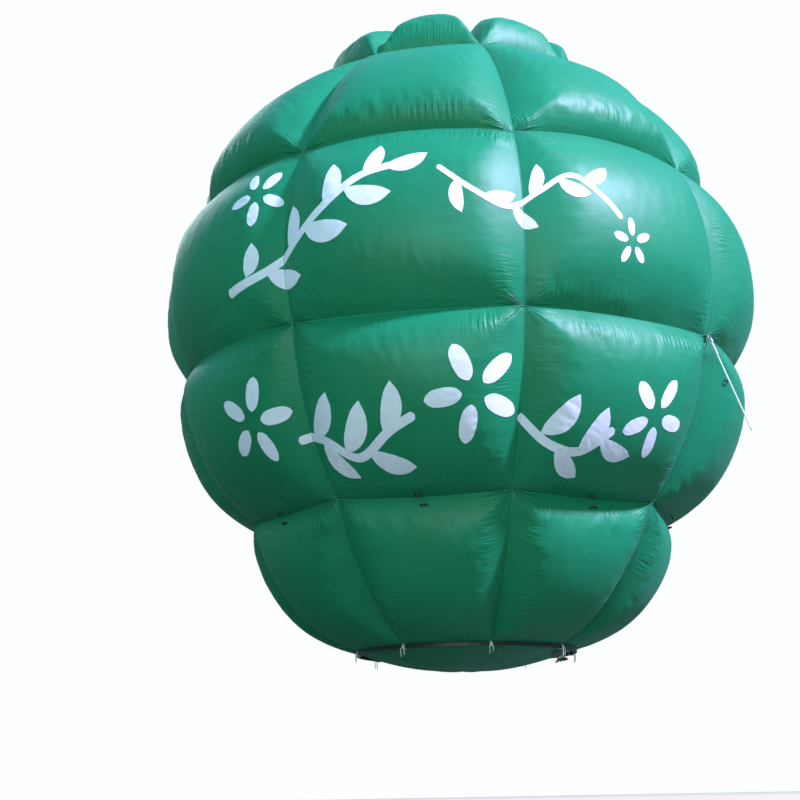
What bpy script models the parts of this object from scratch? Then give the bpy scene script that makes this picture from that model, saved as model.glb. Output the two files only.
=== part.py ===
"""A balloon-shaped inflatable: eight gores of quilted cloth pillows, pinched
at every seam, closed by a crown patch above and a bulging bottom panel, tied
to a steel base hoop and stayed by three short guys on swinging D-rings.

Metres, +Z up. The origin is the centre of the base hoop, at the height where
the lowest pillows meet the bottom panel. -Y faces the viewer."""

from math import atan2, cos, hypot, pi, radians, sin

import bmesh
import bpy
from mathutils import Matrix, Vector

# Driving dimensions
GORES = 8
FIRST_SEAM = radians(12.2)        # azimuth of the seam nearest the front, + to the right
SHELL = 0.010                     # cloth shell thickness
GAP = 0.0003                      # clearance between touching pieces
COLUMNS = 8                       # cells across one gore
FAN = 0.9                         # how far the pillows' bulge fans with the seams' own lean
SQUARENESS = 3.0                  # 2 = a round pillow across the gore, more = flatter topped

# The pinched rings between tiers, from the top: radius and height at a gore seam,
# how round the ring is (0 = straight between the seams, 1 = a circle), the direction
# in which it swells there, and the direction in which its cloth edge is cut (degrees
# above outward)
RINGS = [
    # radius, height, roundness, swell, edge cut
    (0.268, 5.081, 1.00, 0.0, 102.0),
    (1.134, 4.816, 0.10, 56.6, 56.6),
    (2.108, 3.661, 0.77, 22.9, 22.9),
    (2.248, 2.276, 1.00, -8.4, -8.4),
    (1.732, 1.031, 0.46, -31.2, -31.2),
    (0.868, 0.000, 1.00, 0.0, -75.0),
]

# The tiers between them, from the top: name, bulge along the gore seams and extra
# bulge at the pillow's middle, both in pillow heights, and cells along the pillow
TIERS = [
    # name, seam bulge, middle bulge, rows
    ("crown_panel", 0.068, 0.275, 5),
    ("upper_panel", 0.071, 0.137, 5),
    ("middle_panel", 0.116, 0.124, 6),
    ("lower_panel", 0.079, 0.169, 5),
    ("base_panel", 0.085, 0.146, 5),
]

BOTTOM_SAG = 0.150                # the bottom panel's bulge below the hoop
BOTTOM_RINGS = 4
CROWN_RISE = 0.020                # the crown patch's dome
CROWN_PAD = 0.054                 # length of the pad sewn on the patch
SIDES = GORES * COLUMNS           # sides of every round piece on the envelope
SHARP = radians(40)               # edges sharper than this aren't shaded smooth

HOOP_TUBE = 0.028                 # square tube of the base hoop
HOOP_DROP = 0.0006                # its top below the envelope's lowest seam

# Steel D-rings and the webbing loops that hold them
ROD = 0.004                       # half the rod's thickness
RING_WIDTH = 0.054                # between the rod's middles
RING_ARM = 0.018                  # straight part of each arm
RING_CORNER = 0.008
LOOP_INNER = ROD + 0.001
LOOP_OUTER = LOOP_INNER + 0.0035
LOOP_WIDTH = 0.038
LOOP_ROOT = radians(20)           # the part of the eye's inside that the tail starts from
WEBBING = 0.0035                  # thickness of the flat webbing

# Guys, sewn on the widest pinched ring: name and gore seam, counted to the right
# from the front seam
GUY_RING = 3
GUYS = [
    # name, seam
    ("right", 1),
    ("left", -3),
    ("rear", 3),
]
GUY_REACH = 0.045                 # from the seam to the D-ring's bar
GUY_SEAT = 0.0009                 # clearance of the webbing's end in the seam's notch
GUY_SLOPE = radians(-69)          # the taut rope, below the horizontal
ROPE = 0.006                      # half the rope's thickness
ROPE_EYE = 0.0115                 # radius of the middle of the rope's eye
KNOT_RADIUS = 0.011
KNOT_LENGTH = 0.120
ROPE_LENGTH = 0.78

# Filling sleeve, tied off under the bottom panel
SLEEVE_AZIMUTH = radians(72)
SLEEVE_PLACE = 0.772              # from the centre
# its outline from the panel down: distance from the panel and radius
SLEEVE = [(0.0, 0.066), (0.026, 0.064), (0.044, 0.038), (0.054, 0.025), (0.064, 0.036),
          (0.080, 0.052)]
SLEEVE_SIDES = 20
SLEEVE_SEAT = 0.0022              # how far its flat top reaches into the panel's curve

CLOTH = (0.025, 0.27, 0.16)


def material(name, color, roughness, metallic=0.0):
    """A plain Principled material."""
    mat = bpy.data.materials.new(name)
    mat.use_nodes = True
    bsdf = mat.node_tree.nodes["Principled BSDF"]
    bsdf.inputs["Base Color"].default_value = (*color, 1.0)
    bsdf.inputs["Roughness"].default_value = roughness
    bsdf.inputs["Metallic"].default_value = metallic
    return mat


def new_object(name, bm, mat):
    """Link a bmesh into the scene as one named object, its faces outward."""
    bmesh.ops.recalc_face_normals(bm, faces=bm.faces)
    if bm.calc_volume(signed=True) < 0:
        bmesh.ops.reverse_faces(bm, faces=bm.faces)
    mesh = bpy.data.meshes.new(name)
    bm.to_mesh(mesh)
    bm.free()
    mesh.materials.append(mat)
    mesh.shade_smooth()
    mesh.set_sharp_from_angle(angle=SHARP)
    obj = bpy.data.objects.new(name, mesh)
    bpy.context.scene.collection.objects.link(obj)
    return obj


def cylindrical(radius, azimuth, height):
    """A point from its radius, azimuth and height; azimuth 0 is -Y, + towards +X."""
    return Vector((radius * sin(azimuth), -radius * cos(azimuth), height))


# Envelope: each pillow is a patch between two rings and two gore seams

def chord_lean(tier):
    """Direction of the outward normal of a tier's straight chord, in radians."""
    r0, z0 = RINGS[tier][:2]
    r1, z1 = RINGS[tier + 1][:2]
    return atan2(r1 - r0, z0 - z1)


def ring_lean(ring):
    """Direction halfway between the chords that meet at a ring."""
    last = len(TIERS) - 1
    above = chord_lean(max(ring - 1, 0))
    below = chord_lean(min(ring, last))
    return (above + below) / 2


def ring_point(ring, off):
    """Radius and height of a ring at an angle off its gore's middle."""
    radius, height, roundness, swell, _ = RINGS[ring]
    chord = radius * cos(pi / GORES) / cos(off)
    out = roundness * (radius - chord)
    return chord + out * cos(radians(swell)), height + out * sin(radians(swell))


def arch(t, power=2.0):
    """0 at both ends and 1 in the middle: a parabola, or flatter on top."""
    return 1 - abs(2 * t - 1) ** power


def pillow_point(tier, u, v):
    """Outer surface: radius, height and angle off the gore's middle."""
    off = (2 * u - 1) * pi / GORES
    top = ring_point(tier, off)
    low = ring_point(tier + 1, off)
    height = hypot(RINGS[tier + 1][0] - RINGS[tier][0], RINGS[tier + 1][1] - RINGS[tier][1])
    _, at_seam, at_middle, _ = TIERS[tier]
    bulge = (at_seam + at_middle * arch(u, SQUARENESS)) * height * arch(v)
    lean = ring_lean(tier) * (1 - v) + ring_lean(tier + 1) * v
    middle = (ring_lean(tier) + ring_lean(tier + 1)) / 2
    lean = middle + (lean - middle) * FAN
    radius = top[0] * (1 - v) + low[0] * v + bulge * cos(lean)
    z = top[1] * (1 - v) + low[1] * v + bulge * sin(lean)
    return radius, z, off


def pillow_normal(tier, u, v, middle):
    """Outward normal of the outer surface at azimuth middle + off."""
    step = 0.001
    points = []
    for du, dv in ((step, 0), (-step, 0), (0, step), (0, -step)):
        radius, z, off = pillow_point(tier, u + du, v + dv)
        points.append(cylindrical(radius, middle + off, z))
    normal = (points[0] - points[1]).cross(points[3] - points[2])
    return normal.normalized()


def edge_direction(tier, v):
    """Direction in which the shell is cut along a gore seam, blended to the rings'."""
    radius_a, z_a, _ = pillow_point(tier, 0, v - 0.001)
    radius_b, z_b, _ = pillow_point(tier, 0, v + 0.001)
    lean = atan2(radius_b - radius_a, z_a - z_b)
    if v <= 0:
        return radians(RINGS[tier][4])
    if v >= 1:
        return radians(RINGS[tier + 1][4])
    return lean


def envelope_panel(tier, gore):
    """One pillow: outer and inner skins joined along the four cut edges."""
    name, _, _, rows = TIERS[tier]
    middle = FIRST_SEAM + (gore + 0.5) * 2 * pi / GORES
    bm = bmesh.new()
    skins = [{}, {}]
    for i in range(COLUMNS + 1):
        for j in range(rows + 1):
            u, v = i / COLUMNS, j / rows
            radius, z, off = pillow_point(tier, u, v)
            azimuth = middle + off
            outer = cylindrical(radius, azimuth, z)
            if i in (0, COLUMNS) or j in (0, rows):
                lean = edge_direction(tier, v)
                inward = -cylindrical(cos(lean), azimuth, sin(lean))
            else:
                inward = -pillow_normal(tier, u, v, middle)
            shift = Vector((0, 0, 0))
            if i in (0, COLUMNS):
                side = 1 if i == 0 else -1
                shift += side * GAP / 2 * Vector((cos(azimuth), sin(azimuth), 0))
            if j in (0, rows):
                cut = radians(RINGS[tier + (j > 0)][4])
                side = 1 if j == 0 else -1
                across = cylindrical(sin(cut), azimuth, -cos(cut))
                shift += side * GAP / 2 * across
            skins[0][i, j] = bm.verts.new(outer + shift)
            skins[1][i, j] = bm.verts.new(outer + shift + SHELL * inward)
    # both skins fold along the same diagonals, which run inward from the four corners
    for skin in skins:
        for i in range(COLUMNS):
            for j in range(rows):
                quad = [skin[i, j], skin[i, j + 1], skin[i + 1, j + 1], skin[i + 1, j]]
                if (i < COLUMNS / 2) != (j < rows / 2):
                    quad = quad[1:] + quad[:1]
                bm.faces.new(quad[:3])
                bm.faces.new([quad[2], quad[3], quad[0]])
    border = [(i, 0) for i in range(COLUMNS)]
    border += [(COLUMNS, j) for j in range(rows)]
    border += [(i, rows) for i in range(COLUMNS, 0, -1)]
    border += [(0, j) for j in range(rows, 0, -1)]
    for a, b in zip(border, border[1:] + border[:1]):
        bm.faces.new([skins[0][a], skins[0][b], skins[1][b], skins[1][a]])
    return new_object(f"{name}_{gore + 1}", bm, MATERIALS["cloth"])


def dome(name, radius, height, cut, sag, rings, sides, mat):
    """A thin domed disc whose rim is cut along the same cone as the ring it closes."""
    bm = bmesh.new()
    lean = radians(cut)
    rim = radius - GAP / 2 * abs(sin(lean)) - GAP / 2
    up = 1 if sin(lean) > 0 else -1
    skins = []
    for depth in (0, SHELL):
        loops = []
        for k in range(rings, 0, -1):
            t = k / rings
            edge = rim - depth * cos(lean) if k == rings else rim * t
            drop = depth * abs(sin(lean)) if k == rings else depth
            z = height + up * (sag * (1 - t * t) - drop)
            loops.append([bm.verts.new(cylindrical(edge, FIRST_SEAM + a * 2 * pi / sides, z))
                          for a in range(sides)])
        pole = bm.verts.new((0, 0, height + up * (sag - depth)))
        for outer, inner in zip(loops, loops[1:]):
            for a in range(sides):
                b = (a + 1) % sides
                bm.faces.new([outer[a], outer[b], inner[b], inner[a]])
        for a in range(sides):
            bm.faces.new([loops[-1][a], loops[-1][(a + 1) % sides], pole])
        skins.append(loops[0])
    for a in range(sides):
        b = (a + 1) % sides
        bm.faces.new([skins[0][a], skins[1][a], skins[1][b], skins[0][b]])
    return new_object(name, bm, mat)


def base_hoop():
    """A square tube rolled to a ring, right under the envelope's lowest seam."""
    inner = RINGS[-1][0]
    top = RINGS[-1][1] - HOOP_DROP
    corners = [(inner, top), (inner + HOOP_TUBE, top),
               (inner + HOOP_TUBE, top - HOOP_TUBE), (inner, top - HOOP_TUBE)]
    bm = bmesh.new()
    loops = [[bm.verts.new(cylindrical(r, FIRST_SEAM + a * 2 * pi / SIDES, z)) for r, z in corners]
             for a in range(SIDES)]
    for a in range(SIDES):
        b = (a + 1) % SIDES
        for k in range(4):
            m = (k + 1) % 4
            bm.faces.new([loops[a][k], loops[b][k], loops[b][m], loops[a][m]])
    return new_object("base_hoop", bm, MATERIALS["steel"])


# Rings and webbing loops, each drawn in its own frame: X away from what carries
# it, Y along the ring's bar, the bar's middle at the origin

def local_frame(place, azimuth, lean):
    """X leans up from outward by lean, Y runs to the right around the envelope."""
    turn = Matrix.Rotation(azimuth - pi / 2, 4, "Z") @ Matrix.Rotation(-lean, 4, "Y")
    return Matrix.Translation(place) @ turn


def d_ring(name, frame):
    """A closed rod along the D."""
    half = RING_WIDTH / 2
    corner = [(RING_CORNER * (1 - cos(t)), -half + RING_CORNER * (1 - sin(t)))
              for t in (radians(22.5 * k) for k in range(5))]
    bow = [(RING_ARM + half * sin(t), -half * cos(t))
           for t in (pi * k / 12 for k in range(13))]
    outline = corner + bow + [(x, -y) for x, y in corner[::-1]]
    curve = bpy.data.curves.new(name, "CURVE")
    curve.dimensions = "3D"
    curve.bevel_depth = ROD
    curve.bevel_resolution = 2
    spline = curve.splines.new("POLY")
    spline.points.add(len(outline) - 1)
    for point, (x, y) in zip(spline.points, outline):
        point.co = (x, y, 0, 1)
    spline.use_cyclic_u = True
    curve.materials.append(MATERIALS["zinc"])
    obj = bpy.data.objects.new(name, curve)
    obj.matrix_world = frame
    bpy.context.scene.collection.objects.link(obj)
    return obj


def webbing_loop(name, frame, tail, half_gap):
    """A strip with an eye round the bar. The tail's outline is given from one side
    of the eye to the other, and half_gap is half the angle that it fills."""
    steps = 12
    angles = [half_gap - pi + (2 * pi - 2 * half_gap) * k / steps for k in range(steps + 1)]
    outer = [(LOOP_OUTER * cos(a), LOOP_OUTER * sin(a)) for a in angles] + tail
    spread = [pi + LOOP_ROOT * ((k + 1) / (len(tail) + 1) - 0.5) for k in range(len(tail))]
    inner = [(LOOP_INNER * cos(a), LOOP_INNER * sin(a)) for a in angles + spread]
    bm = bmesh.new()
    sides = []
    for y in (-LOOP_WIDTH / 2, LOOP_WIDTH / 2):
        sides.append([[bm.verts.new((x, y, z)) for x, z in line] for line in (outer, inner)])
    count = len(outer)
    for k in range(count):
        m = (k + 1) % count
        for near, far in sides:
            bm.faces.new([near[k], near[m], far[m], far[k]])
        for line in (0, 1):
            bm.faces.new([sides[0][line][k], sides[1][line][k], sides[1][line][m],
                          sides[0][line][m]])
    obj = new_object(name, bm, MATERIALS["webbing"])
    obj.matrix_world = frame
    return obj


def turned(name, outline, sides, frame, mat):
    """A solid turned round local X from (distance along X, radius) pairs."""
    bm = bmesh.new()
    loops = [[bm.verts.new((x, r * cos(a), r * sin(a)))
              for a in (2 * pi * k / sides for k in range(sides))] for x, r in outline]
    for one, two in zip(loops, loops[1:]):
        for k in range(sides):
            m = (k + 1) % sides
            bm.faces.new([one[k], one[m], two[m], two[k]])
    bm.faces.new(loops[0])
    bm.faces.new(loops[-1])
    obj = new_object(name, bm, mat)
    obj.matrix_world = frame
    return obj


def guy_rope(name, frame):
    """An eye round the D-ring's bow, a lashed stretch and the single rope."""
    bow = RING_ARM + RING_WIDTH / 2
    eye = bow + ROPE_EYE - ROPE - ROD - GAP
    knot = eye + ROPE_EYE
    end = knot + ROPE_LENGTH
    outline = [(knot - 0.003, ROPE), (knot + 0.008, KNOT_RADIUS),
               (knot + KNOT_LENGTH - 0.015, KNOT_RADIUS), (knot + KNOT_LENGTH, ROPE), (end, ROPE)]
    obj = turned(name, outline, 10, frame, MATERIALS["rope"])
    bm = bmesh.new()
    around, section = 16, 8
    loops = []
    for k in range(around):
        a = 2 * pi * k / around
        ring = []
        for m in range(section):
            b = 2 * pi * (m + 0.5) / section
            reach = ROPE_EYE + ROPE * cos(b)
            ring.append(bm.verts.new((eye + reach * cos(a), ROPE * sin(b), reach * sin(a))))
        loops.append(ring)
    for k in range(around):
        m = (k + 1) % around
        for j in range(section):
            n = (j + 1) % section
            bm.faces.new([loops[k][j], loops[k][n], loops[m][n], loops[m][j]])
    cutter = new_object(name + "_eye", bm, MATERIALS["rope"])
    cutter.matrix_world = frame
    cutter.hide_render = True
    cutter.display_type = "WIRE"
    union = obj.modifiers.new("eye", "BOOLEAN")
    union.operation = "UNION"
    union.object = cutter
    union.solver = "EXACT"
    return obj


def guy(name, seam):
    """One guy: webbing loop on the pinched ring, D-ring and short taut rope."""
    azimuth = FIRST_SEAM + seam * 2 * pi / GORES
    radius, height = RINGS[GUY_RING][:2]
    lean = ring_lean(GUY_RING)
    place = cylindrical(radius + GUY_REACH * cos(lean), azimuth, height + GUY_REACH * sin(lean))
    half = WEBBING / 2
    root = -GUY_REACH + GUY_SEAT
    tail = [(root, half), (root, -half)]
    webbing_loop(f"guy_loop_{name}", local_frame(place, azimuth, lean), tail, radians(15))
    frame = local_frame(place, azimuth, GUY_SLOPE)
    d_ring(f"guy_ring_{name}", frame)
    guy_rope(f"guy_rope_{name}", frame)


def lifting_ring():
    """A webbing loop sewn on the crown patch, and a ring that lies on the patch."""
    top = RINGS[0][1] + CROWN_RISE
    bar = top + GAP + WEBBING + LOOP_OUTER - 0.001
    place = Vector((0, 0, bar))
    pad = top + GAP - bar
    half = CROWN_PAD / 2
    tail = [(half, pad + WEBBING), (half, pad), (-half, pad), (-half, pad + WEBBING)]
    # the pad is the eye's tail, turned a quarter down
    turned_tail = [(z, -x) for x, z in tail][::-1]
    frame = local_frame(place, pi, radians(90))
    webbing_loop("crown_loop", frame, turned_tail, radians(50))
    reach = RING_ARM + RING_WIDTH / 2
    drop = atan2(bar - (top + GAP + ROD), reach)
    d_ring("crown_ring", local_frame(place, pi, -drop))


def filling_sleeve():
    """The tied-off cloth sleeve, standing square on the bottom panel."""
    t = SLEEVE_PLACE / RINGS[-1][0]
    slope = atan2(2 * BOTTOM_SAG * t, RINGS[-1][0])
    lean = slope - pi / 2
    depth = -BOTTOM_SAG * (1 - t * t)
    place = cylindrical(SLEEVE_PLACE, SLEEVE_AZIMUTH, depth)
    frame = local_frame(place, SLEEVE_AZIMUTH, lean) @ Matrix.Translation((GAP - SLEEVE_SEAT, 0, 0))
    turned("filling_sleeve", SLEEVE, SLEEVE_SIDES, frame, MATERIALS["sleeve"])


for old in list(bpy.data.objects):
    bpy.data.objects.remove(old, do_unlink=True)

MATERIALS = {
    "cloth": material("green satin cloth", CLOTH, 0.45),
    "steel": material("painted steel hoop", (0.03, 0.03, 0.03), 0.5, 0.6),
    "zinc": material("zinc plated ring", (0.6, 0.6, 0.58), 0.3, 1.0),
    "webbing": material("green webbing", (0.02, 0.18, 0.11), 0.8),
    "rope": material("white rope", (0.85, 0.85, 0.82), 0.8),
    "sleeve": material("grey sleeve cloth", (0.18, 0.19, 0.18), 0.7),
}

for tier in range(len(TIERS)):
    for gore in range(GORES):
        envelope_panel(tier, gore)
crown_radius, crown_height, _, _, crown_cut = RINGS[0]
dome("crown_patch", crown_radius, crown_height, crown_cut, CROWN_RISE, 2, SIDES,
     MATERIALS["cloth"])
base_radius, base_height, _, _, base_cut = RINGS[-1]
dome("bottom_panel", base_radius, base_height, base_cut, BOTTOM_SAG, BOTTOM_RINGS, SIDES,
     MATERIALS["cloth"])
base_hoop()
filling_sleeve()
lifting_ring()
for guy_name, guy_seam in GUYS:
    guy(guy_name, guy_seam)
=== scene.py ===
from math import atan2, cos, hypot, log, pi, radians, sin, sqrt

import bmesh
import bpy
from mathutils import Matrix, Vector, noise
from mathutils.bvhtree import BVHTree


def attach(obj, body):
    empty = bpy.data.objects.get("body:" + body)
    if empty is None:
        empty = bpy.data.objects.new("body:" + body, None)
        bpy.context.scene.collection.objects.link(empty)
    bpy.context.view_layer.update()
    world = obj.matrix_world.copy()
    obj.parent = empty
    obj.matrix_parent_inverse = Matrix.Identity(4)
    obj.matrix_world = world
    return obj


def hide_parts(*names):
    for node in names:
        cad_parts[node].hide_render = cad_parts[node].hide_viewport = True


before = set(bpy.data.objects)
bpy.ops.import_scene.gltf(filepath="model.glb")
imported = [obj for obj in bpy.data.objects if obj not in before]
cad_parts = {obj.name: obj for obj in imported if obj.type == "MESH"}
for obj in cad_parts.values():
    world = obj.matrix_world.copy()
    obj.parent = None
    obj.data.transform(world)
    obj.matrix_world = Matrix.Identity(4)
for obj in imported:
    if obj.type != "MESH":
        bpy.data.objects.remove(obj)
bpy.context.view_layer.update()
print("frame loaded")

# Camera: low down, looking up at the balloon
camera = {
    "place": (0.0, -13.830, -1.132),
    "turn": -2.091,      # degrees, + to the right
    "rise": 13.224,
    "roll": 1.032,
    "focal": 1683.1,     # pixels, for a picture 800 wide
    "picture": 800,
}


def makeCamera():
    data = bpy.data.cameras.new("camera")
    data.sensor_width = 36
    data.lens = camera["focal"] * 36 / camera["picture"]
    data.clip_end = 200
    lens = bpy.data.objects.new("camera", data)
    turn = Matrix.Rotation(-radians(camera["turn"]), 4, "Z")
    rise = Matrix.Rotation(radians(90 + camera["rise"]), 4, "X")
    roll = Matrix.Rotation(-radians(camera["roll"]), 4, "Z")
    lens.matrix_world = Matrix.Translation(camera["place"]) @ turn @ rise @ roll
    bpy.context.scene.collection.objects.link(lens)
    bpy.context.scene.camera = lens


makeCamera()

# Floor and light
stage = {
    "floor": -1.20,
    "floorSize": 60,
    "floorColor": (0.345, 0.27, 0.19),   # with its glow it looks a plain pale grey in this light
    "floorGlow": (0.42, 0.38, 0.39),
    "floorBounce": (0.09, 0.11, 0.08),   # what it throws back up at the object
    "backdrop": (0.98, 0.99, 1.0),       # what the camera sees behind the object
    "horizon": (0.18, 0.34, 0.31),       # the soft light from all round
    "zenith": (0.25, 0.79, 1.16),
    "lightsAim": (0.0, 0.0, 2.5),
    # name, from, size, power, colour
    "lights": [
        ("key", (26.8, -14.9, 27.7), 3.4, 26000, (1.05, 1.0, 1.70)),
        ("fill", (-2.0, -15.0, 3.0), 7.0, 620, (0.76, 1.0, 0.92)),
        ("back", (-6.0, 8.0, 9.0), 5.0, 350, (0.85, 0.95, 1.0)),
    ],
}


def mixed(tree, factor, one, two):
    # a blend of two colours, each a plain one or a node's output
    node = tree.nodes.new("ShaderNodeMix")
    node.data_type = "RGBA"
    tree.links.new(factor, node.inputs[0])
    for socket, color in ((node.inputs[6], one), (node.inputs[7], two)):
        if isinstance(color, tuple):
            socket.default_value = (*color, 1)
        else:
            tree.links.new(color, socket)
    return node.outputs[2]


def newMaterial(name, roughness):
    mat = bpy.data.materials.new(name)
    mat.use_nodes = True
    bsdf = mat.node_tree.nodes["Principled BSDF"]
    bsdf.inputs["Roughness"].default_value = roughness
    return mat, mat.node_tree, bsdf


def makeFloor():
    bm = bmesh.new()
    bmesh.ops.create_grid(bm, x_segments=1, y_segments=1, size=stage["floorSize"] / 2)
    bmesh.ops.translate(bm, verts=bm.verts, vec=(0, 0, stage["floor"]))
    mesh = bpy.data.meshes.new("floor")
    bm.to_mesh(mesh)
    bm.free()
    floor = bpy.data.objects.new("floor", mesh)
    bpy.context.scene.collection.objects.link(floor)
    coat, tree, bsdf = newMaterial("pale floor", 0.8)
    seen = tree.nodes.new("ShaderNodeLightPath").outputs["Is Camera Ray"]
    color = mixed(tree, seen, stage["floorBounce"], stage["floorColor"])
    tree.links.new(color, bsdf.inputs["Base Color"])
    bsdf.inputs["Emission Color"].default_value = (*stage["floorGlow"], 1)
    tree.links.new(seen, bsdf.inputs["Emission Strength"])
    mesh.materials.append(coat)


def makeSky():
    world = bpy.data.worlds.new("studio")
    world.use_nodes = True
    tree = world.node_tree
    background = tree.nodes["Background"]
    place = tree.nodes.new("ShaderNodeTexCoord").outputs["Generated"]
    split = tree.nodes.new("ShaderNodeSeparateXYZ")
    tree.links.new(place, split.inputs[0])
    sky = mixed(tree, split.outputs[2], stage["horizon"], stage["zenith"])
    tree.links.new(sky, background.inputs["Color"])
    backdrop = tree.nodes.new("ShaderNodeBackground")
    backdrop.inputs["Color"].default_value = (*stage["backdrop"], 1)
    mix = tree.nodes.new("ShaderNodeMixShader")
    seen = tree.nodes.new("ShaderNodeLightPath").outputs["Is Camera Ray"]
    tree.links.new(seen, mix.inputs[0])
    tree.links.new(background.outputs[0], mix.inputs[1])
    tree.links.new(backdrop.outputs[0], mix.inputs[2])
    tree.links.new(mix.outputs[0], tree.nodes["World Output"].inputs["Surface"])
    bpy.context.scene.world = world


def makeLights():
    for name, place, size, power, color in stage["lights"]:
        data = bpy.data.lights.new(name, "AREA")
        data.shape = "DISK"
        data.size = size
        data.energy = power
        data.color = color
        lamp = bpy.data.objects.new(name, data)
        aim = Vector(stage["lightsAim"]) - Vector(place)
        lamp.matrix_world = Matrix.Translation(place) @ aim.to_track_quat("-Z", "Y").to_matrix().to_4x4()
        bpy.context.scene.collection.objects.link(lamp)
    bpy.context.scene.view_settings.view_transform = "Standard"


makeFloor()
makeSky()
makeLights()
print("camera and stage made")

# Materials


def addNode(tree, kind, values=(), **settings):
    node = tree.nodes.new("ShaderNode" + kind)
    for name, value in settings.items():
        setattr(node, name, value)
    for socket, value in values:
        node.inputs[socket].default_value = value
    return node


def feed(tree, value, socket):
    # a plain number or a node's output
    if isinstance(value, (int, float)):
        socket.default_value = value
    else:
        tree.links.new(value, socket)


def mathNode(tree, operation, *inputs):
    node = addNode(tree, "Math", operation=operation)
    for socket, value in zip(node.inputs, inputs):
        feed(tree, value, socket)
    return node.outputs[0]


def noiseNode(tree, vector, scale, detail, roughness=0.5):
    node = addNode(tree, "TexNoise", [("Detail", detail), ("Roughness", roughness)])
    tree.links.new(vector, node.inputs["Vector"])
    feed(tree, scale, node.inputs["Scale"])
    return node.outputs["Fac"]


def mapped(tree, value, start, end, low=0.0, high=1.0):
    limits = [("From Min", start), ("From Max", end), ("To Min", low), ("To Max", high)]
    node = addNode(tree, "MapRange", limits)
    tree.links.new(value, node.inputs["Value"])
    return node.outputs[0]


def average(tree, one, two):
    return mathNode(tree, "ADD", mathNode(tree, "MULTIPLY", one, 0.5), mathNode(tree, "MULTIPLY", two, 0.5))


def makeGroup(name, inputs, outputs):
    tree = bpy.data.node_groups.new(name, "ShaderNodeTree")
    for label, kind, value in inputs:
        socket = tree.interface.new_socket(label, in_out="INPUT", socket_type="NodeSocket" + kind)
        socket.default_value = value
    for label, kind in outputs:
        tree.interface.new_socket(label, in_out="OUTPUT", socket_type="NodeSocket" + kind)
    return tree, tree.nodes.new("NodeGroupInput"), tree.nodes.new("NodeGroupOutput")


twoTones = [("Light", "Color", (1, 1, 1, 1)), ("Dark", "Color", (0, 0, 0, 1))]
toneAndHeight = [("Color", "Color"), ("Height", "Float")]


def giveTones(tree, take, give, shade, height):
    tree.links.new(mixed(tree, shade, take.outputs["Dark"], take.outputs["Light"]), give.inputs["Color"])
    tree.links.new(height, give.inputs["Height"])


cloth = {
    "gatherSpacing": 0.028,    # metres between the small gathers
    "gatherLength": 0.16,
    "shoulder": 0.13,          # how far the gathers lie from a seam
    "shoulderWidth": 0.085,
    "cornerReach": 0.22,       # how far the creases run from a pinched corner
    "cornerAngle": 0.35,       # where they lie, 0 being along the ring seam, in radians
    "weave": (1.2, 70.0, 1),   # streaks a metre, across and down
    "relief": 0.020,           # height of gathers and creases
    "ribs": 0.0024,            # metres between the ribs of webbing
}


def makeGathers():
    # small gathers square to the seams, and creases that fan from each corner; the
    # map "edges" has the distances to the nearest gore seam and ring seam, in metres
    tree, take, give = makeGroup("gathers", [("Strength", "Float", 1.0)], [("Height", "Float")])
    link = tree.links.new
    clothMap = addNode(tree, "UVMap", uv_map="cloth")
    edgeMap = addNode(tree, "UVMap", uv_map="edges")
    place = addNode(tree, "SeparateXYZ")
    edge = addNode(tree, "SeparateXYZ")
    link(clothMap.outputs[0], place.inputs[0])
    link(edgeMap.outputs[0], edge.inputs[0])
    across, down = place.outputs[0], place.outputs[1]
    gore, ring = edge.outputs[0], edge.outputs[1]

    def streaks(along, away, squeeze):
        pair = addNode(tree, "CombineXYZ")
        link(mathNode(tree, "DIVIDE", along, cloth["gatherSpacing"] * squeeze), pair.inputs[0])
        link(mathNode(tree, "DIVIDE", away, cloth["gatherLength"]), pair.inputs[1])
        return noiseNode(tree, pair.outputs[0], 1.0, 1.0, 0.4)

    def patches(size, seed):
        values = [("Scale", size), ("Detail", 1.0), ("W", seed)]
        where = addNode(tree, "TexNoise", values, noise_dimensions="4D")
        link(clothMap.outputs[0], where.inputs["Vector"])
        return mapped(tree, where.outputs["Fac"], 0.45, 0.62)

    def band(distance, middle, width):
        off = mathNode(tree, "DIVIDE", mathNode(tree, "SUBTRACT", distance, middle), width)
        squared = mathNode(tree, "POWER", off, 2.0)
        return mathNode(tree, "EXPONENT", mathNode(tree, "MULTIPLY", squared, -1.0))

    def masked(*factors):
        total = factors[0]
        for factor in factors[1:]:
            total = mathNode(tree, "MULTIPLY", total, factor)
        return total

    shoulder, width = cloth["shoulder"], cloth["shoulderWidth"]
    ringGathers = masked(streaks(across, down, 1.0), band(ring, shoulder, width), patches(1.7, 3.0))
    goreGathers = masked(streaks(down, across, 0.9), band(gore, shoulder * 1.3, width), patches(1.9, 8.0),
                         0.5)
    angle = mathNode(tree, "ARCTAN2", ring, gore)
    reach = mathNode(tree, "SQRT", mathNode(tree, "ADD", mathNode(tree, "POWER", gore, 2.0),
                                            mathNode(tree, "POWER", ring, 2.0)))
    fan = addNode(tree, "CombineXYZ")
    link(mathNode(tree, "MULTIPLY", angle, 9.0), fan.inputs[0])
    link(mathNode(tree, "MULTIPLY", reach, 1.5), fan.inputs[1])
    corner = cloth["cornerReach"]
    creases = masked(noiseNode(tree, fan.outputs[0], 1.0, 1.5), band(reach, corner * 0.45, corner * 0.5),
                     band(angle, cloth["cornerAngle"], 0.45), 1.6)
    total = mathNode(tree, "ADD", mathNode(tree, "ADD", ringGathers, goreGathers), creases)
    link(mathNode(tree, "MULTIPLY", total, take.outputs["Strength"]), give.inputs["Height"])
    return tree


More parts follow.
